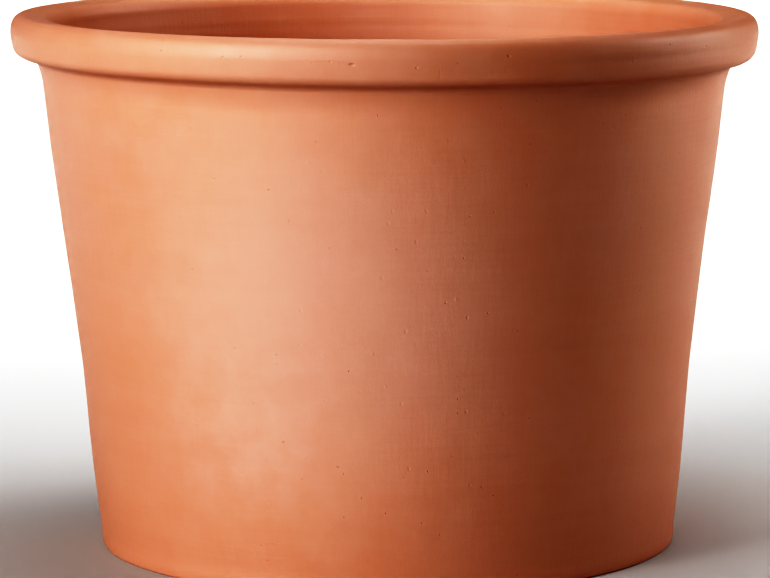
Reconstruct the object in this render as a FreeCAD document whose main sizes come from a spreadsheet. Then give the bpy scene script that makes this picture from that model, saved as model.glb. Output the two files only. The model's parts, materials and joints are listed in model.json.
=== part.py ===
import FreeCAD, Part
import math
import os

import Sketcher
from FreeCAD import Vector

# A terracotta plant pot: a tapered wall, a heavy rolled rim luted onto its top edge, and a floor
# slab with a drainage hole luted inside its foot. The base plane is Z = 0 and the pot's axis is Z.
# Everything is turned, so each piece is half a section, in radius and height, revolved round Z.

# The driving dimensions, in millimetres. A corner's radius and height are those of the sharp
# corner, before its rounding is drawn.
SIZES = [
    ("height", 286.0, "base plane to the top of the rim"),
    ("rim_radius", 200.0, "outer face of the rolled rim"),
    ("foot_radius", 155.2, "outer corner of the wall at the base plane"),
    ("rim_depth", 28.0, "seam under the roll to the top of the rim"),
    ("rim_overhang", 14.6, "how far the roll stands out from the seam"),
    ("chin_lean", 0.057, "how far the roll's face leans in at its lower corner, in rim depths"),
    ("chin_share", 0.243, "height of the roll's lower corner over the seam, in rim depths"),
    ("brow_share", 0.607, "height over the seam where its face turns upright, in rim depths"),
    ("lip_fall", 0.8, "how far the rim's top falls towards the mouth"),
    ("chin_curve", 0.25, "rounding of the roll's lower corner, in rim depths"),
    ("brow_curve", 1.07, "rounding where the roll's face turns upright, in rim depths"),
    ("crown_curve", 0.286, "rounding of the roll's upper corner, in rim depths"),
    ("lip_round", 2.0, "rounding of the mouth's inner edge"),
    ("seat_width", 10.2, "thickness of the wall where the roll sits on it"),
    ("neck_flare", 2.4, "how far the wall flares out to meet the roll"),
    ("flare_height", 7.0, "height of that flare"),
    ("flare_round", 14.0, "rounding between the wall and its flare"),
    ("waist_height", 100.0, "height of the wall's slight waist"),
    ("waist_depth", 1.6, "how far the waist is hollowed from a straight taper"),
    ("waist_round", 3000.0, "radius of the wall at its waist"),
    ("foot_wall", 12.0, "thickness of the wall at the base plane"),
    ("foot_round", 2.0, "rounding of the foot's outer edge"),
    ("floor_thickness", 14.0, "thickness of the floor slab"),
    ("cove", 12.0, "width and height of the clay smeared into the inner corner"),
    ("cove_round", 16.0, "rounding between the floor and that clay"),
    ("drain_radius", 15.0, "drainage hole"),
    ("drain_round", 3.0, "rounding of the drainage hole's two edges"),
]

# Radii and heights that follow from the driving dimensions. Inside, the wall, the floor and the
# rim share one straight cone, from foot_bore at the base plane through seat_bore at the seam.
PLACES = [
    ("seat_height", "sizes.height - sizes.rim_depth"),
    ("seam_radius", "sizes.rim_radius - sizes.rim_overhang"),
    ("neck_radius", "seam_radius - sizes.neck_flare"),
    ("neck_height", "seat_height - sizes.flare_height"),
    ("wall_slope", "(neck_radius - sizes.foot_radius) / neck_height"),
    ("waist_radius", "sizes.foot_radius + wall_slope * sizes.waist_height - sizes.waist_depth"),
    ("foot_bore", "sizes.foot_radius - sizes.foot_wall"),
    ("seat_bore", "seam_radius - sizes.seat_width"),
    ("bore_slope", "(seat_bore - foot_bore) / seat_height"),
    ("mouth_radius", "foot_bore + bore_slope * (sizes.height - sizes.lip_fall)"),
    ("chin_radius", "sizes.rim_radius - sizes.rim_depth * sizes.chin_lean"),
    ("chin_height", "sizes.rim_depth * sizes.chin_share"),
    ("brow_height", "sizes.rim_depth * sizes.brow_share"),
    ("chin_round", "sizes.rim_depth * sizes.chin_curve"),
    ("brow_round", "sizes.rim_depth * sizes.brow_curve"),
    ("crown_round", "sizes.rim_depth * sizes.crown_curve"),
    ("lip_height", "sizes.rim_depth - sizes.lip_fall"),
    ("cove_top", "sizes.floor_thickness + sizes.cove"),
    ("cove_radius", "foot_bore + bore_slope * cove_top"),
    ("cove_foot", "foot_bore + bore_slope * sizes.floor_thickness - sizes.cove"),
]

WHOLE_TURN = 360.0

doc = FreeCAD.newDocument("terracotta_pot")


def write_sheet(name, rows):
    """Fill a spreadsheet from (alias, text, note) rows, with each alias on its value's cell."""
    sheet = doc.addObject("Spreadsheet::Sheet", name)
    for number, (alias, text, note) in enumerate(rows, start=1):
        sheet.set(f"A{number}", alias.replace("_", " "))
        sheet.set(f"B{number}", text)
        sheet.set(f"C{number}", note)
        sheet.setAlias(f"B{number}", alias)
    doc.recompute()
    return sheet


sizes = write_sheet("sizes", [(alias, str(value), note) for alias, value, note in SIZES])
places = write_sheet("places", [(alias, "=" + rule, "worked out") for alias, rule in PLACES])


def value_of(cell):
    """The number in a cell named as sheet.alias; "0" stands for the axis or a piece's own base."""
    if cell == "0":
        return 0.0
    sheet_name, alias = cell.split(".")
    return float(getattr(doc.getObject(sheet_name), alias))


def new_body(label):
    """An empty body whose label is the node's name."""
    body = doc.addObject("PartDesign::Body", label)
    body.Label = label
    return body


def sketch_on(body, plane_role, name):
    """A sketch on one of the body's own origin planes."""
    plane = next(f for f in body.Origin.OriginFeatures if f.Role == plane_role)
    sketch = body.newObject("Sketcher::SketchObject", name)
    sketch.AttachmentSupport = [(plane, "")]
    sketch.MapMode = "FlatFace"
    return sketch


def bind(sketch, kind, geometry, point, cell):
    """A dimension of one point, or of one arc or circle, that follows a cell."""
    where = (geometry, point) if point else (geometry,)
    index = sketch.addConstraint(Sketcher.Constraint(kind, *where, value_of(cell)))
    sketch.setExpression(f"Constraints[{index}]", cell)


def hold(sketch, point, radius_cell, height_cell):
    """Hold a sketch point, given as (geometry, end), at a radius and a height."""
    y_axis, x_axis, on_curve = -2, -1, "PointOnObject"
    if radius_cell == "0":
        sketch.addConstraint(Sketcher.Constraint(on_curve, *point, y_axis))
    else:
        bind(sketch, "DistanceX", *point, radius_cell)
    if height_cell == "0":
        sketch.addConstraint(Sketcher.Constraint(on_curve, *point, x_axis))
    else:
        bind(sketch, "DistanceY", *point, height_cell)


def rounded_corner(before, corner, after, radius):
    """The start, middle and end of the arc that rounds a corner between two straight sides."""
    back = (before - corner).normalize()
    ahead = (after - corner).normalize()
    half_angle = back.getAngle(ahead) / 2
    reach = radius / math.tan(half_angle)
    centre = corner + (back + ahead).normalize() * (radius / math.sin(half_angle))
    middle = centre + (corner - centre).normalize() * radius
    return corner + back * reach, middle, corner + ahead * reach


def draw_section(sketch, corners):
    """Draw a closed section of straight sides from (radius cell, height cell, rounding cell)
    corners. A corner without a rounding is sharp. A rounded one is a tangent arc, and a
    construction point keeps the place where its two sides would meet."""
    points = [Vector(value_of(r), value_of(z), 0) for r, z, rounding in corners]
    count = len(corners)
    arcs = {}
    ends = []
    for i, (r, z, rounding) in enumerate(corners):
        start = middle = end = points[i]
        if rounding:
            around = points[i - 1], points[i], points[(i + 1) % count]
            start, middle, end = rounded_corner(*around, value_of(rounding))
            arcs[i] = sketch.addGeometry(Part.Arc(start, middle, end), False)
        ends.append((start, end))
    sides = []
    for i in range(count):
        side = Part.LineSegment(ends[i][1], ends[(i + 1) % count][0])
        sides.append(sketch.addGeometry(side, False))
    for i, (r, z, rounding) in enumerate(corners):
        side_in, side_out = (sides[i - 1], 2), (sides[i], 1)
        if i not in arcs:
            sketch.addConstraint(Sketcher.Constraint("Coincident", *side_in, *side_out))
            hold(sketch, side_out, r, z)
            continue
        near_in, near_out = nearest_ends(sketch, arcs[i], ends[i])
        sketch.addConstraint(Sketcher.Constraint("Tangent", *side_in, arcs[i], near_in))
        sketch.addConstraint(Sketcher.Constraint("Tangent", arcs[i], near_out, *side_out))
        bind(sketch, "Radius", arcs[i], None, rounding)
        corner = sketch.addGeometry(Part.Point(points[i]), True)
        sketch.addConstraint(Sketcher.Constraint("PointOnObject", corner, 1, sides[i - 1]))
        sketch.addConstraint(Sketcher.Constraint("PointOnObject", corner, 1, sides[i]))
        hold(sketch, (corner, 1), r, z)


def nearest_ends(sketch, arc, wanted):
    """Which of the arc's ends, 1 or 2, lies at each wanted point: a sketch arc runs anticlockwise."""
    first = sketch.getPoint(arc, 1)
    if first.distanceToPoint(wanted[0]) < first.distanceToPoint(wanted[1]):
        return 1, 2
    return 2, 1


def turned_piece(label, corners):
    """A body whose section is revolved once round the pot's axis."""
    body = new_body(label)
    section = sketch_on(body, "XZ_Plane", label + "_section")
    draw_section(section, corners)
    turned = body.newObject("PartDesign::Revolution", label + "_turned")
    turned.Profile = section
    turned.ReferenceAxis = (section, ["V_Axis"])
    turned.Angle = WHOLE_TURN
    doc.recompute()
    return body


def round_circles(body, name, radius_cell, rounding_cell):
    """Round every circular edge of one radius round the axis."""
    base = body.Tip
    radius = value_of(radius_cell)
    edges = []
    for number, edge in enumerate(base.Shape.Edges, start=1):
        if isinstance(edge.Curve, Part.Circle) and abs(edge.Curve.Radius - radius) < 1e-4:
            edges.append(f"Edge{number}")
    rounding = body.newObject("PartDesign::Fillet", name)
    rounding.Base = (base, edges)
    rounding.setExpression("Radius", rounding_cell)
    doc.recompute()


def make_wall():
    """The tapered wall. It stands on its foot, is hollowed very slightly at its waist, and flares
    a little at the top to meet the roll. Its inner face is one straight cone."""
    return turned_piece("wall", [
        ("places.foot_bore", "0", None),
        ("sizes.foot_radius", "0", "sizes.foot_round"),
        ("places.waist_radius", "sizes.waist_height", "sizes.waist_round"),
        ("places.neck_radius", "places.neck_height", "sizes.flare_round"),
        ("places.seam_radius", "places.seat_height", None),
        ("places.seat_bore", "places.seat_height", None),
    ])


def make_rolled_rim():
    """The D-shaped roll round the mouth, drawn up from its own seam and placed on the wall's top
    edge. Its inner face carries the wall's cone on to the mouth."""
    rim = turned_piece("rolled_rim", [
        ("places.seat_bore", "0", None),
        ("places.seam_radius", "0", None),
        ("places.chin_radius", "places.chin_height", "places.chin_round"),
        ("sizes.rim_radius", "places.brow_height", "places.brow_round"),
        ("sizes.rim_radius", "sizes.rim_depth", "places.crown_round"),
        ("places.mouth_radius", "places.lip_height", "sizes.lip_round"),
    ])
    rim.setExpression("Placement.Base.z", "places.seat_height")
    doc.recompute()
    return rim


def make_floor():
    """The floor slab inside the foot. Its edge lies against the wall's cone, the clay smeared up
    the inner corner is part of it, and the drainage hole goes through its middle."""
    floor = turned_piece("floor", [
        ("0", "0", None),
        ("places.foot_bore", "0", None),
        ("places.cove_radius", "places.cove_top", None),
        ("places.cove_foot", "sizes.floor_thickness", "sizes.cove_round"),
        ("0", "sizes.floor_thickness", None),
    ])
    slab_volume = floor.Shape.Volume
    circle = sketch_on(floor, "XY_Plane", "drain_circle")
    ring = Part.Circle(Vector(0, 0, 0), Vector(0, 0, 1), value_of("sizes.drain_radius"))
    edge = circle.addGeometry(ring, False)
    circle.addConstraint(Sketcher.Constraint("Coincident", edge, 3, -1, 1))
    bind(circle, "Radius", edge, None, "sizes.drain_radius")
    drain = floor.newObject("PartDesign::Pocket", "drain_hole")
    drain.Profile = circle
    drain.Type = "ThroughAll"
    drain.Midplane = True
    doc.recompute()
    if floor.Shape.Volume >= slab_volume:
        raise RuntimeError("the drainage hole cut nothing")
    round_circles(floor, "drain_edges", "sizes.drain_radius", "sizes.drain_round")
    return floor


def check_model(bodies):
    """Stop before anything is written if a feature failed or a piece isn't one sound solid."""
    doc.recompute()
    for item in doc.Objects:
        failed = {"Invalid", "Error"} & set(item.State)
        if failed:
            raise RuntimeError(f"{item.Label} failed: {sorted(failed)}")
    for body in bodies:
        shape = body.Shape
        if shape.isNull() or not shape.isValid() or len(shape.Solids) != 1:
            raise RuntimeError(f"{body.Label} isn't one sound solid")


def write_parts(bodies):
    """Write each piece to parts/ under its node's name, and print its size."""
    os.makedirs("parts", exist_ok=True)
    for body in bodies:
        box = body.Shape.optimalBoundingBox()
        body.Shape.exportStep(os.path.join("parts", body.Label + ".step"))
        print(f"{body.Label}: {box.XLength:.1f} wide, {box.ZMin:.1f} to {box.ZMax:.1f} high,",
              f"{body.Shape.Volume / 1e6:.3f} litres of clay")


pot = [make_wall(), make_rolled_rim(), make_floor()]
check_model(pot)
write_parts(pot)
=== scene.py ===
# %% [markdown]
# # A terracotta pot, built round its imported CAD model
# Everything here is modelled round them, in metres, with the pot standing on the ground and
# its axis on Z.

import json
import math
import random

import bpy
from mathutils import Matrix, Vector, noise


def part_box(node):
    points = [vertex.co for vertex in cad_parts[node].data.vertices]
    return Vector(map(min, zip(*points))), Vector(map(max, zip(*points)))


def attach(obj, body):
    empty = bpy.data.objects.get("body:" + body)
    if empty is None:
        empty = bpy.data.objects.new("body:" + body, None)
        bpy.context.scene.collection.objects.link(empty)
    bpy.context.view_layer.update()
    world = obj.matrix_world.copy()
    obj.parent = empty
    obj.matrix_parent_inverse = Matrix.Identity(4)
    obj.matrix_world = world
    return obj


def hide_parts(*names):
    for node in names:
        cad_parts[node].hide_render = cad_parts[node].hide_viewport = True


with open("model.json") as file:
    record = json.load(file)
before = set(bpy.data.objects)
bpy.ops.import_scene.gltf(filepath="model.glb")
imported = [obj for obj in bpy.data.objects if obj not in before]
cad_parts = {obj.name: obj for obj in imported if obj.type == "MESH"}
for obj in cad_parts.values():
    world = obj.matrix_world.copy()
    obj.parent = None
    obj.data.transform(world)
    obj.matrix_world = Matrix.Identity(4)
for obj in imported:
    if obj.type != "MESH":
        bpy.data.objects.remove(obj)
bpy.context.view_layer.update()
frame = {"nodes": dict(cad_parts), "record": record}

# %% [markdown]
# ## Reading sizes off the frame
# A potter copies a pot with callipers: the radius at a height, inside and outside. This cell does
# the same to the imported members, so every later shape starts from measured sizes and not from
# numbers typed twice.

# %% Callipers
MM = 0.001


def radii_at(node, height, band=0.6 * MM):
    """The smallest and largest radius of a CAD node's points near a height."""
    points = [v.co for v in frame["nodes"][node].data.vertices]
    near = [math.hypot(p.x, p.y) for p in points if abs(p.z - height) < band]
    return min(near), max(near)


rim_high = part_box("rolled_rim")[1]
wall_low, wall_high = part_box("wall")
floor_low, floor_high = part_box("floor")
seam_z = wall_high.z
crown_z = rim_high.z
rim_radius = rim_high.x
foot_bore, foot_radius = radii_at("wall", wall_low.z)
seat_bore, seam_radius = radii_at("wall", seam_z)
hole_radius = frame["record"]["mounts"][1]["dims"]["r_mm"] * MM
bore_slope = (seat_bore - foot_bore) / (seam_z - wall_low.z)
print("seam", round(seam_z, 4), "crown", round(crown_z, 4), "rim", round(rim_radius, 4))
print("foot", round(foot_bore, 4), round(foot_radius, 4), "seat", round(seat_bore, 4),
      round(seam_radius, 4))

# %% [markdown]
# ## Tools of the trade
# Edit-mode operators act on whatever is selected, so a maker clears the selection first and then
# picks points by where they are. These few helpers keep that honest.

# %% Selecting and switching modes
def clear_selection():
    """Leave edit mode and select nothing."""
    if bpy.context.object and bpy.context.object.mode != "OBJECT":
        bpy.ops.object.mode_set(mode="OBJECT")
    bpy.ops.object.select_all(action="DESELECT")


def take_up(piece):
    """Select one piece alone and make it active."""
    clear_selection()
    piece.select_set(True)
    bpy.context.view_layer.objects.active = piece


def pick_faces(piece, wanted):
    """Select the faces whose centre passes a test, and return how many there are."""
    take_up(piece)
    bpy.ops.object.mode_set(mode="EDIT")
    bpy.ops.mesh.select_mode(type="FACE")
    bpy.ops.mesh.select_all(action="DESELECT")
    bpy.ops.object.mode_set(mode="OBJECT")
    chosen = 0
    for face in piece.data.polygons:
        face.select = wanted(face.center)
        chosen += face.select
    bpy.ops.object.mode_set(mode="EDIT")
    return chosen


# %% [markdown]
# ## Turning a section
# A pot is a turned form. It could be a cylinder that is scaled ring by ring, but the rim's roll and
# the crease under it need a true section. So a single point is extruded round the outline, the
# outline is closed, and a spin carries it once round the axis, like clay against a rib.

# %% Draw a section and spin it
def turned(name, outline, steps):
    """A closed ring of clay: a closed outline of (radius, height) points spun round Z."""
    clear_selection()
    start_r, start_z = outline[0]
    bpy.ops.mesh.primitive_plane_add(size=MM, location=(start_r, 0, start_z))
    piece = bpy.context.object
    piece.name = piece.data.name = name
    bpy.ops.object.transform_apply(location=True, rotation=False, scale=False)
    bpy.ops.object.mode_set(mode="EDIT")
    bpy.ops.mesh.select_mode(type="VERT")
    bpy.ops.mesh.select_all(action="SELECT")
    bpy.ops.mesh.merge(type="CENTER")
    for (r0, z0), (r1, z1) in zip(outline, outline[1:]):
        move = {"value": (r1 - r0, 0, z1 - z0)}
        bpy.ops.mesh.extrude_region_move(TRANSFORM_OT_translate=move)
    bpy.ops.object.mode_set(mode="OBJECT")
    piece.data.vertices[0].select = True
    bpy.ops.object.mode_set(mode="EDIT")
    bpy.ops.mesh.edge_face_add()
    bpy.ops.mesh.select_all(action="SELECT")
    bpy.ops.mesh.spin(steps=steps, angle=2 * math.pi, center=(0, 0, 0), axis=(0, 0, 1))
    bpy.ops.mesh.select_all(action="SELECT")
    bpy.ops.mesh.remove_doubles(threshold=0.01 * MM)
    bpy.ops.mesh.normals_make_consistent(inside=False)
    bpy.ops.object.mode_set(mode="OBJECT")
    print(name, "turned:", len(piece.data.polygons), "faces")
    return piece


def stretch(start, end, spacing):
    """Evenly spaced points along a straight run, without its end."""
    run = math.hypot(end[0] - start[0], end[1] - start[1])
    count = max(1, round(run / spacing))
    return [(start[0] + (end[0] - start[0]) * i / count,
             start[1] + (end[1] - start[1]) * i / count) for i in range(count)]


# %% [markdown]
# ## Turning rings
# Fingers leave shallow rings inside a thrown pot. The inside face runs through all three members,
# so one rule gives its radius at any height, and each member follows it to the joint. That way the
# joints can't be felt inside, as on the real pot, where they are wiped over.

# %% The bore of the pot
RING_PITCH = 8.5 * MM
FINE_PITCH = 5.3 * MM
RING_DEPTH = 0.10 * MM


def bore(z):
    """The inside radius at a height: the cone, with shallow finger rings that vary in depth."""
    rings = math.sin(2 * math.pi * z / RING_PITCH)
    rings += 0.6 * math.sin(2 * math.pi * z / FINE_PITCH + 1)
    return foot_bore + bore_slope * z + RING_DEPTH * 0.5 * rings


def bore_run(z_from, z_to, spacing):
    """Points down or up the bore between two heights, without the last."""
    count = max(1, round(abs(z_to - z_from) / spacing))
    heights = [z_from + (z_to - z_from) * i / count for i in range(count)]
    return [(bore(z), z) for z in heights]


def arc(centre, radius, start_degrees, end_degrees, count):
    """Points along an arc in the section, both ends included."""
    turns = [start_degrees + (end_degrees - start_degrees) * i / count for i in range(count + 1)]
    return [(centre[0] + radius * math.cos(math.radians(t)),
             centre[1] + radius * math.sin(math.radians(t))) for t in turns]


def curve_through(start, pull, end, count):
    """A soft bend from start to end, drawn towards a third point, without its end."""
    points = []
    for i in range(count):
        t = i / count
        points.append(tuple(a * (1 - t) ** 2 + 2 * b * t * (1 - t) + c * t * t
                            for a, b, c in zip(start, pull, end)))
    return points


# %% [markdown]
# ## The wall
# The wall was ribbed smooth outside. A straight taper would look machined: the real one is slightly
# full above the foot, hollow at the waist and full again under the roll. The outline is the taper
# less a hollow at the waist, plus a soft swelling at each full place and a small bead and dip at
# the very foot.

# %% The wall's outline
WAIST_Z = 100 * MM
WAIST_HOLLOW = 1.6 * MM
FLARE = 4 * MM                                      # height of the bend into the neck
FINE_BELOW, FINE_STEP, STEP = 14 * MM, 1.2 * MM, 3.2 * MM
SWELLINGS = ((45 * MM, 26 * MM, 0.6 * MM),          # height, reach and amount of each
             (208 * MM, 30 * MM, 0.5 * MM),
             (4 * MM, 3 * MM, 0.25 * MM),
             (11 * MM, 4 * MM, -0.15 * MM))
neck_z = seam_z - 7 * MM
neck_radius = seam_radius - 2.4 * MM
foot_round = 1.5 * MM


def swelling(z, centre, reach, amount):
    """A soft rise or hollow along the wall, centred on a height."""
    return amount * math.exp(-((z - centre) / reach) ** 2)


def wall_radius(z):
    """The outside of the wall at a height, below the neck."""
    taper = foot_radius + (neck_radius - foot_radius) * z / neck_z
    reach = WAIST_Z if z < WAIST_Z else neck_z - WAIST_Z
    hollow = WAIST_HOLLOW * max(0, 1 - abs(z - WAIST_Z) / reach)
    return taper - hollow + sum(swelling(z, *place) for place in SWELLINGS)


def wall_outline():
    """Up the outside, along the seam, and down the bore to the foot."""
    low = wall_low.z
    points = stretch((foot_bore, low), (foot_radius - foot_round, low), 4 * MM)
    points += arc((wall_radius(foot_round) - foot_round, foot_round), foot_round, -90, -12, 5)
    flare_z = neck_z - FLARE
    z = STEP
    while z < flare_z:
        points.append((wall_radius(z), z))
        z += FINE_STEP if z < FINE_BELOW else STEP
    points += curve_through((wall_radius(flare_z), flare_z), (neck_radius, neck_z),
                            (seam_radius, seam_z), 8)
    points += stretch((seam_radius, seam_z), (bore(seam_z), seam_z), 3 * MM)
    points += bore_run(seam_z, low, 2.8 * MM)
    return points


wall = turned("pot_wall", wall_outline(), steps=448)

# %% [markdown]
# ## The rolled rim
# The roll was pulled with a wet sponge, which leaves it round below and flatter on top, with a fine
# ridge on its upper corner where the sponge turned over. Its outline is drawn as the potter would:
# out from the crease, round the belly, up the face, over the crown and in to the lip.

# %% The roll's outline
LIP_DROP = 0.8 * MM


def roll_outline():
    """Out of the crease, round the roll, over the top, and down the bore to the seam."""
    r = rim_radius
    lip_z = crown_z - LIP_DROP
    lip_r = bore(lip_z)
    tucked = (seam_radius - 1.2 * MM, seam_z)
    slip_lip = (seam_radius - 0.08 * MM, seam_z - 0.5 * MM)
    crease = (seam_radius + 0.05 * MM, seam_z)
    underside = (r - 7.8 * MM, seam_z + 4.0 * MM)
    belly = (r - 1.6 * MM, seam_z + 8.6 * MM)
    face = (r, seam_z + (crown_z - seam_z) * 0.65)
    shoulder = (r - 3.2 * MM, crown_z - 1.2 * MM)
    ridge = (r - 6.6 * MM, crown_z)
    lip = (lip_r + 6 * MM, lip_z - 0.4 * MM)
    inside = (bore(lip_z - 7 * MM), lip_z - 7 * MM)
    points = [tucked, slip_lip]
    points += curve_through(crease, (seam_radius + 1.0 * MM, seam_z + 2.9 * MM), underside, 10)
    points += curve_through(underside, (r - 3.0 * MM, seam_z + 5.0 * MM), belly, 8)
    points += curve_through(belly, (r - 0.7 * MM, seam_z + 12 * MM), face, 7)
    points += curve_through(face, (r - 0.1 * MM, crown_z - 3.2 * MM), shoulder, 8)
    points += curve_through(shoulder, (r - 4.6 * MM, crown_z + 0.1 * MM), ridge, 6)
    points += curve_through(ridge, (r - 12 * MM, crown_z - 0.7 * MM), lip, 9)
    points += curve_through(lip, (lip_r + 0.5 * MM, lip_z - 0.6 * MM), inside, 9)
    points += bore_run(lip_z - 7 * MM, seam_z, 1.5 * MM)
    points += stretch((bore(seam_z), seam_z), tucked, 3 * MM)
    return points


rim = turned("pot_rolled_rim", roll_outline(), steps=640)

# %% [markdown]
# ## The floor
# The floor was a slab, pressed in from above, with its corner smeared up the wall and one hole cut
# for water. It shows only from above and below, so it keeps the engineered sizes and gains only the
# shallow rings the thumb leaves.

# %% The floor's outline
THICKNESS = 14 * MM
COVE = 12 * MM
HOLE_ROUND = 3 * MM
THUMB_PITCH = 11 * MM
THUMB_DEPTH = 0.12 * MM


def floor_outline():
    """Along the underside from the hole, up the wall, round the corner, and back to the hole."""
    low, top = floor_low.z, THICKNESS
    inner = hole_radius + HOLE_ROUND
    cove_foot = foot_bore + bore_slope * THICKNESS - COVE
    points = arc((inner, low + HOLE_ROUND), HOLE_ROUND, 180, 270, 5)
    points += stretch((inner, low), (foot_bore, low), 4 * MM)[1:]
    points += bore_run(low, floor_high.z, 2.8 * MM)
    flat_from = (cove_foot - 8 * MM, top)
    points += curve_through((bore(floor_high.z), floor_high.z), (cove_foot, top), flat_from, 10)
    for x, z in stretch(flat_from, (inner, top), 2.4 * MM):
        wave = 1 - math.cos(2 * math.pi * (x - inner) / THUMB_PITCH)
        points.append((x, z - THUMB_DEPTH * wave))
    points += arc((inner, top - HOLE_ROUND), HOLE_ROUND, 90, 180, 5)
    return points


slab = turned("pot_floor", floor_outline(), steps=256)

# %% [markdown]
# ## The hand in the clay
# Nothing thrown is perfectly round. A soft three-dimensional noise pushes each member in and out by
# a few tenths of a millimetre. All three use the same noise in the pot's own space, so their
# joints stay together. The strength stays small enough to leave the engineered sizes alone.

# %% Slight unevenness
def uneven(piece, label, size, amount):
    """Push a piece in and out along its normals by a soft noise, then apply it."""
    take_up(piece)
    clouds = bpy.data.textures.new(label, "CLOUDS")
    clouds.noise_scale = size
    clouds.noise_depth = 2
    push = piece.modifiers.new(label, "DISPLACE")
    push.texture = clouds
    push.texture_coords = "GLOBAL"
    push.strength = amount
    push.mid_level = 0.5
    bpy.ops.object.modifier_apply(modifier=push.name)
    print(label, "pushes by up to", round(amount / 2 / MM, 2), "mm each way")


for piece in (wall, rim, slab):
    uneven(piece, piece.name + "_hand", 0.09, 0.5 * MM)
    uneven(piece, piece.name + "_rib", 0.02, 0.16 * MM)


def push_by_weight(piece, label, weight_of, amount, direction="NORMAL"):
    """Paint weights from 0 to 1 on a piece by place, push it by them, and apply the push."""
    take_up(piece)
    group = piece.vertex_groups.new(name=label)
    moved = 0
    for vertex in piece.data.vertices:
        weight = weight_of(vertex.co)
        if weight > 0:
            group.add([vertex.index], weight, "REPLACE")
            moved += 1
    push = piece.modifiers.new(label, "DISPLACE")
    push.vertex_group = group.name
    push.direction = direction
    push.strength = amount
    push.mid_level = 0
    bpy.ops.object.modifier_apply(modifier=push.name)
    piece.vertex_groups.remove(piece.vertex_groups[label])
    print(piece.name, label, "moves", moved, "points")


# %% [markdown]
# ## A lean and a low side
# The pot settled a little while it dried. Its rim is about a millimetre lower on one side, where
# the roll is also a little deeper, and its foot stands under a millimetre off the rim's axis. Each
# is a move by a painted weight, so neighbouring members move together.

# %% Low side, deep roll and lean
RIM_DROP = 1.4 * MM
RIM_LIFT = 1.0 * MM
ROLL_DROP = 0.9 * MM
ROLL_LIFT = 1.9 * MM
FOOT_SHIFT = 0.85 * MM
MOUTH_SHIFT = 0.5 * MM


def drop_share(place, side):
    """How much of the rim's drop a point takes: none at the foot, all at the rim's far edge."""
    return max(0, side * place.x / rim_radius) * min(1, max(0, place.z / seam_z)) ** 2


def roll_share(place, side):
    """How much the roll's underside moves: fully at the seam, and on one side only."""
    above, below = (place.z - seam_z) / (16 * MM), (seam_z - place.z) / (30 * MM)
    return max(0, side * place.x / rim_radius) * max(0, 1 - max(above, below, 0))


def mouth_share(place):
    """How much a point moves with the mouth: nothing at the seam, fully from mid roll up."""
    return min(1, max(0, place.z - seam_z) / (8 * MM))


def foot_share(place):
    """How much a point moves with the foot: fully at the base, not at all above mid height."""
    return max(0, 1 - place.z / (170 * MM))


for piece in (wall, rim):
    push_by_weight(piece, "low_side", lambda place: drop_share(place, 1), -RIM_DROP, "Z")
    push_by_weight(piece, "high_side", lambda place: drop_share(place, -1), RIM_LIFT, "Z")
    push_by_weight(piece, "deep_roll", lambda place: roll_share(place, 1), -ROLL_DROP, "Z")
    push_by_weight(piece, "thin_roll", lambda place: roll_share(place, -1), ROLL_LIFT, "Z")
push_by_weight(rim, "mouth", mouth_share, MOUTH_SHIFT, "X")
for piece in (wall, slab):
    push_by_weight(piece, "lean", foot_share, FOOT_SHIFT, "X")

# %% [markdown]
# ## Marks of the making
# A sponge edge left a shallow groove round part of the roll, the slip under it was wiped to a thin
# lip that hangs lower at one side, and small stones dragged out pits and short slots. Each is cut
# into the clay itself, not painted: the faces round a pit are subdivided first, so that there is
# clay fine enough to push in.

# %% Groove and slip lip
GROOVE_UP = 13.5 * MM                               # above the seam
GROOVE_DEPTH = 0.4 * MM
SLIP_HANG = 1.3 * MM


def bump_at(value, centre, reach):
    """A smooth hump: 1 at its centre and 0 beyond its reach."""
    away = abs(value - centre) / reach
    return (1 - away * away) ** 2 if away < 1 else 0


def groove_share(place):
    """A groove at mid height of the roll, on its outer face and fading out towards one side."""
    outside = math.hypot(place.x, place.y) > rim_radius - 6 * MM
    drift = 0.6 * MM * math.sin(3 * math.atan2(place.y, place.x))
    fade = min(1, max(0, 0.35 + place.x / rim_radius)) * bump_at(place.x, 0.09, 0.13)
    return outside * bump_at(place.z + drift, seam_z + GROOVE_UP, 3 * MM) * fade


def slip_share(place):
    """How far the slip's edge hangs at each place round the seam."""
    if place.z > seam_z - 0.4 * MM or math.hypot(place.x, place.y) < seam_radius - 1 * MM:
        return 0
    ragged = noise.noise(Vector((place.x, place.y, 0)) * 150)
    ragged += 0.5 * noise.noise(Vector((place.x, place.y, 1)) * 420)
    side = 1 if place.x < -0.08 else 0.2
    return side * min(1, max(0, 0.3 + ragged))


push_by_weight(rim, "groove", groove_share, -GROOVE_DEPTH)
push_by_weight(rim, "slip", slip_share, -SLIP_HANG, "Z")


# %% Pits, pimples and slots
DEEPEST = 0.7 * MM                                  # a full weight pushes this far
MARK_REACH = 3.2 * MM                               # faces this near a mark are refined


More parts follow.
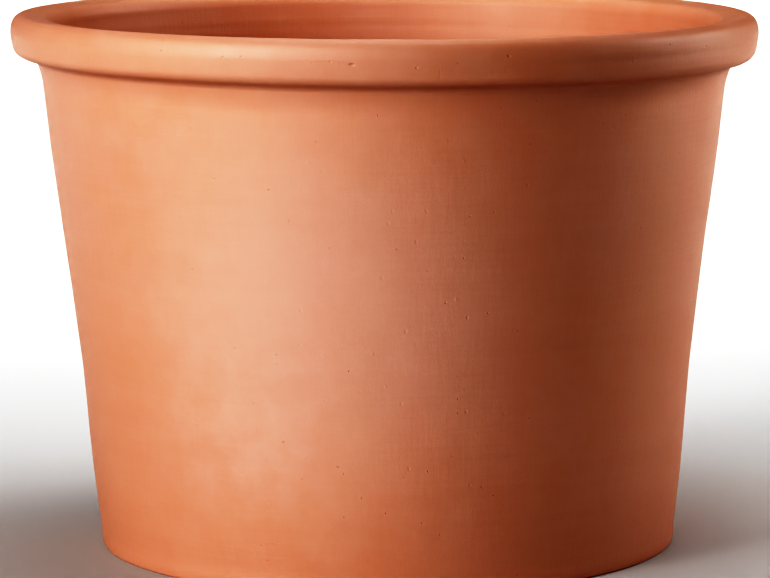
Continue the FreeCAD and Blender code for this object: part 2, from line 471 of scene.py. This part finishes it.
def mark(piece, places):
    """Cut or raise small marks: each place is (turn in degrees, radius, height, half width,
    half height, depth), where a turn of 0 faces the front and a negative depth goes in."""
    centres = []
    for turn, radius, height, half_wide, half_high, depth in places:
        angle = math.radians(turn)
        centres.append(Vector((radius * math.sin(angle), -radius * math.cos(angle), height)))
    count = pick_faces(piece, lambda c: any((c - m).length < MARK_REACH for m in centres))
    bpy.ops.mesh.subdivide(number_cuts=4)
    bpy.ops.object.mode_set(mode="OBJECT")

    def share(place, sign):
        total = 0
        for centre, (turn, _, _, half_wide, half_high, depth) in zip(centres, places):
            if depth * sign <= 0 or (place - centre).length > MARK_REACH:
                continue
            angle = math.radians(turn)
            along = (place.x - centre.x) * math.cos(angle) + (place.y - centre.y) * math.sin(angle)
            off = math.hypot(along / half_wide, (place.z - centre.z) / half_high)
            total += bump_at(off, 0, 1) * abs(depth) / DEEPEST
        return min(1, total)

    push_by_weight(piece, "pits", lambda place: share(place, -1), -DEEPEST)
    push_by_weight(piece, "pimples", lambda place: share(place, 1), DEEPEST)
    print(piece.name, "marked in", len(places), "places,", count, "faces refined")


# Seven marks that stand out, a drag of small ones, upright hairlines, and a scatter all round.
dice = random.Random(7)
roll_marks = [(-33.4, 0.2, 0.2785, 0.9 * MM, 0.7 * MM, -0.5 * MM),
              (-23.3, 0.2, 0.2765, 1.0 * MM, 0.6 * MM, -0.45 * MM),
              (-20.5, 0.2, 0.2770, 0.7 * MM, 0.6 * MM, -0.4 * MM),
              (-4.45, 0.2, 0.2738, 2.2 * MM, 0.7 * MM, -0.6 * MM),
              (-7.5, 0.2, 0.2752, 0.8 * MM, 0.6 * MM, -0.35 * MM),
              (4.6, 0.2, 0.2722, 0.8 * MM, 0.8 * MM, -0.45 * MM),
              (17.8, 0.2, 0.2770, 1.1 * MM, 0.7 * MM, -0.5 * MM)]
for _ in range(12):
    roll_marks.append((dice.uniform(-12.2, -6), rim_radius, 0.2752 + dice.uniform(-1.2, 1.6) * MM,
                       dice.uniform(0.4, 0.7) * MM, dice.uniform(0.3, 0.5) * MM, -0.2 * MM))
for _ in range(14):
    roll_marks.append((dice.uniform(6.4, 19), rim_radius, seam_z + dice.uniform(9, 17) * MM,
                       0.35 * MM, dice.uniform(0.9, 2.4) * MM, -0.12 * MM))
for _ in range(26):
    roll_marks.append((dice.uniform(30, 320), rim_radius, seam_z + dice.uniform(10, 21) * MM,
                       dice.uniform(0.5, 1.0) * MM, dice.uniform(0.5, 0.7) * MM,
                       -dice.uniform(0.2, 0.4) * MM))
mark(rim, roll_marks)

wall_marks = []
for number in range(70):
    turn = dice.uniform(-20, 24) if number < 30 else dice.uniform(24, 340)
    height = dice.uniform(40, 245) * MM
    depth = dice.choice((-0.35, -0.3, 0.25, 0.2)) * MM
    wall_marks.append((turn, wall_radius(height), height, dice.uniform(0.45, 0.8) * MM,
                       dice.uniform(0.5, 1.2) * MM, depth))
mark(wall, wall_marks)

# %% [markdown]
# ## Smooth shading
# A spin leaves flat facets. Smooth shading hides them, but the seam faces must stay crisp, or the
# shading would bleed round them. Smoothing by angle does both.

# %% Smooth by angle
for piece in (wall, rim, slab):
    take_up(piece)
    bpy.ops.object.shade_smooth_by_angle(angle=math.radians(50))
    print(piece.name, "smoothed:", len(piece.data.polygons), "faces")

# %% [markdown]
# ## Fired clay
# Terracotta is matt and never one colour: iron and lime wander through it in clouds, the rib drags
# fine vertical lines, and salts bloom pale on the surface. Painted images would repeat, so each
# layer is a procedural noise in the pot's own coordinates, mixed one over another.

# %% Small node helpers
def add_node(tree, kind, **settings):
    """A node with its settings, and its unlinked sockets, given by name."""
    node = tree.nodes.new(kind)
    for key, value in settings.items():
        name = key.replace("_", " ")
        if hasattr(node, key):
            setattr(node, key, value)
        else:
            node.inputs[name].default_value = value
    return node


def noise_layer(tree, stretch_by, scale, detail, low, high):
    """A stretched noise, spread between two levels of its range to give a mask from 0 to 1."""
    coords = add_node(tree, "ShaderNodeTexCoord")
    mapping = add_node(tree, "ShaderNodeMapping")
    mapping.inputs["Scale"].default_value = stretch_by
    grainy = add_node(tree, "ShaderNodeTexNoise", Scale=scale, Detail=detail, Roughness=0.6)
    spread = add_node(tree, "ShaderNodeMapRange")
    spread.inputs["From Min"].default_value = low
    spread.inputs["From Max"].default_value = high
    tree.links.new(coords.outputs["Object"], mapping.inputs["Vector"])
    tree.links.new(mapping.outputs["Vector"], grainy.inputs["Vector"])
    tree.links.new(grainy.outputs["Fac"], spread.inputs["Value"])
    return spread.outputs["Result"]


def blend_colour(tree, mask, strength, under, over):
    """Lay a colour over another where a mask is high."""
    part = add_node(tree, "ShaderNodeMath", operation="MULTIPLY")
    tree.links.new(mask, part.inputs[0])
    part.inputs[1].default_value = strength
    mix = add_node(tree, "ShaderNodeMix", data_type="RGBA")
    tree.links.new(part.outputs[0], mix.inputs["Factor"])
    if hasattr(under, "node"):
        tree.links.new(under, mix.inputs[6])
    else:
        mix.inputs[6].default_value = (*under, 1)
    mix.inputs[7].default_value = (*over, 1)
    return mix.outputs[2]


def add_bump(tree, height, distance, strength, under=None):
    """A layer of surface relief from a height mask, over an earlier layer."""
    bump = add_node(tree, "ShaderNodeBump", Strength=strength, Distance=distance)
    tree.links.new(height, bump.inputs["Height"])
    if under:
        tree.links.new(under, bump.inputs["Normal"])
    return bump.outputs["Normal"]


# %% [markdown]
# ## Building up the clay
# Orange and pink clay cloud into each other. Rust darkens the turning bands, painted shade darkens
# the pits, and the colour grows darker towards the foot. Pale bloom lies in fine mottling, in drag
# lines and in one soft patch low on the wall, and soft patches of painted sheen lie over the lit
# front left of the wall and of the roll. The bands, drags and pits also drive the relief, so a dark
# pit is a dip too.

# %% The clay itself
ORANGE = (0.615, 0.345, 0.243)
PINK = (0.625, 0.377, 0.302)
# The rust colour below darkens the bands, and also paints shade into the pits and darkens the foot.
RUST_AND_SHADE = (0.535, 0.29, 0.20)
# The pale colour below is real bloom in the mottling, drags and low patch, and painted sheen in the
# front patches.
BLOOM_AND_SHEEN = (0.675, 0.475, 0.41)
PIT_CELLS = 330.0                                   # cells to a metre, one possible pit in each
PIT_RARITY = 0.96                                   # the share of cells left without a pit


def spot_mask(tree, centre, reach):
    """A soft round patch about a place on the pot: 1 at its centre, 0 at its reach."""
    coords = add_node(tree, "ShaderNodeTexCoord")
    away = add_node(tree, "ShaderNodeVectorMath", operation="DISTANCE")
    away.inputs[1].default_value = centre
    fade = add_node(tree, "ShaderNodeMapRange", interpolation_type="SMOOTHSTEP")
    fade.inputs["From Min"].default_value = reach
    fade.inputs["From Max"].default_value = reach * 0.2
    tree.links.new(coords.outputs["Object"], away.inputs[0])
    tree.links.new(away.outputs["Value"], fade.inputs["Value"])
    return fade.outputs["Result"]


def height_mask(tree, none_at, full_at):
    """A mask that runs from 0 at one height to 1 at another."""
    coords = add_node(tree, "ShaderNodeTexCoord")
    split = add_node(tree, "ShaderNodeSeparateXYZ")
    fade = add_node(tree, "ShaderNodeMapRange")
    fade.inputs["From Min"].default_value = none_at
    fade.inputs["From Max"].default_value = full_at
    tree.links.new(coords.outputs["Object"], split.inputs["Vector"])
    tree.links.new(split.outputs["Z"], fade.inputs["Value"])
    return fade.outputs["Result"]


def both(tree, a, b):
    """Two masks multiplied."""
    product = add_node(tree, "ShaderNodeMath", operation="MULTIPLY")
    tree.links.new(a, product.inputs[0])
    tree.links.new(b, product.inputs[1])
    return product.outputs[0]


def pin_pits(tree):
    """A mask of small round pits, in a few cells picked at random."""
    cells = add_node(tree, "ShaderNodeTexVoronoi", Scale=PIT_CELLS)
    coords = add_node(tree, "ShaderNodeTexCoord")
    tree.links.new(coords.outputs["Object"], cells.inputs["Vector"])
    pits = add_node(tree, "ShaderNodeMapRange")
    pits.inputs["From Min"].default_value = 0.16
    pits.inputs["From Max"].default_value = 0.08
    tree.links.new(cells.outputs["Distance"], pits.inputs["Value"])
    chance = add_node(tree, "ShaderNodeSeparateXYZ")
    tree.links.new(cells.outputs["Color"], chance.inputs["Vector"])
    few = add_node(tree, "ShaderNodeMath", operation="GREATER_THAN")
    few.inputs[1].default_value = PIT_RARITY
    tree.links.new(chance.outputs["X"], few.inputs[0])
    return both(tree, pits.outputs["Result"], few.outputs[0])


def fired_clay(name, bloom_and_sheen_places, band_strength):
    """Matt fired earthenware: clouded colour, turning bands, drag lines, grain, pin pits darkened
    with painted shade, a darker foot, and pale patches of bloom and of painted sheen.
    """
    clay = bpy.data.materials.new(name)
    clay.use_nodes = True
    tree = clay.node_tree
    shader = tree.nodes["Principled BSDF"]
    clouds = noise_layer(tree, (1, 1, 1.3), 9, 4, 0.33, 0.67)
    mottle = noise_layer(tree, (1, 1, 1), 55, 6, 0.40, 0.66)
    drags = noise_layer(tree, (1, 1, 0.035), 420, 3, 0.42, 0.62)
    bands = noise_layer(tree, (0.06, 0.06, 1), 95, 3, 0.42, 0.64)
    grain = noise_layer(tree, (1, 1, 1), 1500, 4, 0.3, 0.7)
    colour = blend_colour(tree, clouds, 0.6, ORANGE, PINK)
    colour = blend_colour(tree, mottle, 0.13, colour, BLOOM_AND_SHEEN)
    colour = blend_colour(tree, bands, band_strength * 0.4, colour, RUST_AND_SHADE)
    colour = blend_colour(tree, drags, 0.035, colour, BLOOM_AND_SHEEN)
    # The colour grows darker towards the foot, from 0.15 m down.
    foot = height_mask(tree, 0.15, -0.02)
    colour = blend_colour(tree, foot, 0.28, colour, RUST_AND_SHADE)
    # Pale patches: real bloom low on the wall, and painted sheen on the lit front of the wall and the
    # roll.
    for centre, reach, strength, patchy in bloom_and_sheen_places:
        patch = spot_mask(tree, centre, reach)
        if patchy:
            patch = both(tree, patch, mottle)
        colour = blend_colour(tree, patch, strength, colour, BLOOM_AND_SHEEN)
    pit_mask = pin_pits(tree)
    # Painted shade: the pits are darkened here, as well as dipped in the relief below.
    colour = blend_colour(tree, pit_mask, 0.2, colour, RUST_AND_SHADE)
    normal = add_bump(tree, grain, 0.06 * MM, 0.5)
    normal = add_bump(tree, drags, 0.04 * MM, 0.4, normal)
    normal = add_bump(tree, bands, 0.12 * MM, 0.5, normal)
    sunk = add_node(tree, "ShaderNodeMath", operation="SUBTRACT")
    sunk.inputs[0].default_value = 1
    tree.links.new(pit_mask, sunk.inputs[1])
    normal = add_bump(tree, sunk.outputs[0], 0.25 * MM, 0.8, normal)
    rough = add_node(tree, "ShaderNodeMapRange")
    rough.inputs["To Min"].default_value = 0.50
    rough.inputs["To Max"].default_value = 0.60
    tree.links.new(mottle, rough.inputs["Value"])
    tree.links.new(colour, shader.inputs["Base Color"])
    tree.links.new(rough.outputs["Result"], shader.inputs["Roughness"])
    tree.links.new(normal, shader.inputs["Normal"])
    shader.inputs["Specular IOR Level"].default_value = 0.75
    return clay


# Each pale patch: its centre, its reach, its strength, and whether it is broken up by mottling.
# The patch low on the wall is real bloom. The large front patch on the wall and the patch on the roll
# are painted sheen, laid where the key light falls on the front left.
front_sheen = ((-0.03, -0.17, 0.15), 0.145, 0.46, False)
low_bloom = ((-0.07, -0.145, 0.085), 0.07, 0.22, True)
roll_sheen = ((-0.05, -0.19, 0.27), 0.13, 0.16, False)
for piece, slot_name, blooms_and_sheen, banding in (
        (rim, "rim_clay", (roll_sheen,), 0.12),
        (wall, "wall_clay", (front_sheen, low_bloom), 0.25),
        (slab, "floor_clay", (), 0.3)):
    piece.data.materials.clear()
    piece.data.materials.append(fired_clay(slot_name, blooms_and_sheen, banding))
    print(slot_name, "has", len(piece.data.materials[0].node_tree.nodes), "nodes")

# %% [markdown]
# ## Putting the members in place
# The members are luted together, so all three ride on the pot's one body. Each stands for the
# engineered member whose sizes it was turned to, which is hidden but still there for collision.

# %% Put each member on its body
for piece, node in ((rim, "rolled_rim"), (wall, "wall"), (slab, "floor")):
    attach(piece, "root")
    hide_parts(node)
print("members:", [(p.name, len(p.data.polygons)) for p in (rim, wall, slab)])

# %% [markdown]
# ## The studio
# A plain pale floor, a soft key light from the front left, a weaker one from the front, and an edge
# light from the right and a little behind. Small soft boxes beside, above and behind the pot give
# the clay its sheen. Wide panels hang over the floor further out, with narrow beams that keep most
# of their light off the pot, so that the floor stays pale behind it. A long lens from a little above
# looks down on the rim, and a curve over the tones deepens the shade and keeps the whites soft.

# %% Floor, lights and camera
AIM = Vector((0, 0, 0.15))
SUN_DISTANCE = 3
PANEL_HEIGHT = 1.2
PANEL_SPREAD = 70
FLOOR_GREY = 0.66
AMBIENT = 0.01

clear_selection()
bpy.ops.mesh.primitive_plane_add(size=60, location=(0, 0, 0))
ground = bpy.context.object
ground.name = "studio_floor"
paint = bpy.data.materials.new("pale_floor")
paint.use_nodes = True
coat = paint.node_tree.nodes["Principled BSDF"]
coat.inputs["Base Color"].default_value = (FLOOR_GREY, FLOOR_GREY, FLOOR_GREY, 1)
coat.inputs["Roughness"].default_value = 1.0
ground.data.materials.append(paint)


def hang_lamp(name, kind, azimuth, elevation, distance, strength):
    """A lamp aimed at the middle of the pot; azimuth 0 is the camera's side, and the right is
    positive."""
    turn, rise = math.radians(azimuth), math.radians(elevation)
    towards = Vector((math.sin(turn) * math.cos(rise), -math.cos(turn) * math.cos(rise),
                      math.sin(rise)))
    light = bpy.data.lights.new(name, kind)
    light.energy = strength
    lamp = bpy.data.objects.new(name, light)
    lamp.location = towards * distance + AIM
    lamp.rotation_euler = towards.to_track_quat("Z", "Y").to_euler()
    bpy.context.scene.collection.objects.link(lamp)
    return lamp


def add_sun(name, azimuth, elevation, strength, softness):
    """A distant soft light."""
    lamp = hang_lamp(name, "SUN", azimuth, elevation, SUN_DISTANCE, strength)
    lamp.data.angle = math.radians(softness)


def add_box(name, azimuth, elevation, distance, size, strength):
    """A soft box near the pot."""
    lamp = hang_lamp(name, "AREA", azimuth, elevation, distance, strength)
    lamp.data.shape = "RECTANGLE"
    lamp.data.size, lamp.data.size_y = size
    return lamp


def add_panel(name, x, y, size, strength):
    """A wide level panel over the floor, with a narrow beam that stays mostly off the pot."""
    lamp = add_box(name, 0, 90, 1, size, strength)
    lamp.location = (x, y, PANEL_HEIGHT)
    lamp.data.spread = math.radians(PANEL_SPREAD)


add_sun("key_low", -47, 6, 1.36, 22)
add_sun("key_high", -47, 26, 0.45, 22)
add_sun("front", -20, 20, 0.60, 22)
add_sun("edge_side", 100, 24, 0.46, 18)
add_sun("edge_back", 117, 24, 0.38, 18)
add_box("key_box", -47, 22, 1.1, (0.7, 0.9), 5.1)
add_box("edge_box", 95, 15, 0.7, (0.3, 0.5), 1.6)
add_box("top_box", 0, 90, 0.8, (0.5, 0.5), 2.3)
add_box("back_box", 180, 60, 0.8, (0.6, 0.4), 1.0)
add_panel("floor_panel_0", 0, 3.3, (5, 5.4), 185)
add_panel("floor_panel_1", 0, -6.2, (5, 5.4), 60)
add_panel("floor_panel_2", -4.8, 0, (5.4, 5), 80)
add_panel("floor_panel_3", 4.8, 0, (5.4, 5), 80)

world = bpy.data.worlds.new("studio")
world.use_nodes = True
sky = world.node_tree.nodes["Background"]
sky.inputs["Color"].default_value = (1, 1, 1, 1)
sky.inputs["Strength"].default_value = AMBIENT
bpy.context.scene.world = world

# %% Lens and tones
CAMERA_PLACE = (0, -2.092, 0.4314)
LOOK_DOWN = 8.05                                    # degrees below level
LEAN_OVER = -0.3                                    # degrees about the line of sight
TONES = ((0.1, 0.001), (0.2, 0.016), (0.3, 0.078), (0.45, 0.27), (0.6, 0.54), (0.8, 0.83))
WHITE = 0.95

lens = bpy.data.cameras.new("camera")
lens.lens = 182.4
lens.sensor_width = 36
camera = bpy.data.objects.new("camera", lens)
camera.location = CAMERA_PLACE
tilt = Matrix.Rotation(math.radians(90 - LOOK_DOWN), 3, "X")
lean = Matrix.Rotation(math.radians(LEAN_OVER), 3, "Z")
camera.rotation_euler = (tilt @ lean).to_euler()
bpy.context.scene.collection.objects.link(camera)
bpy.context.scene.camera = camera

view = bpy.context.scene.view_settings
view.view_transform = "Standard"
view.use_curve_mapping = True
contrast = view.curve_mapping.curves[3]
for level, shown in TONES:
    contrast.points.new(level, shown)
contrast.points[-1].location = (1, WHITE)
view.curve_mapping.update()
print("camera at", CAMERA_PLACE, "with", len(contrast.points), "points on the tone curve")
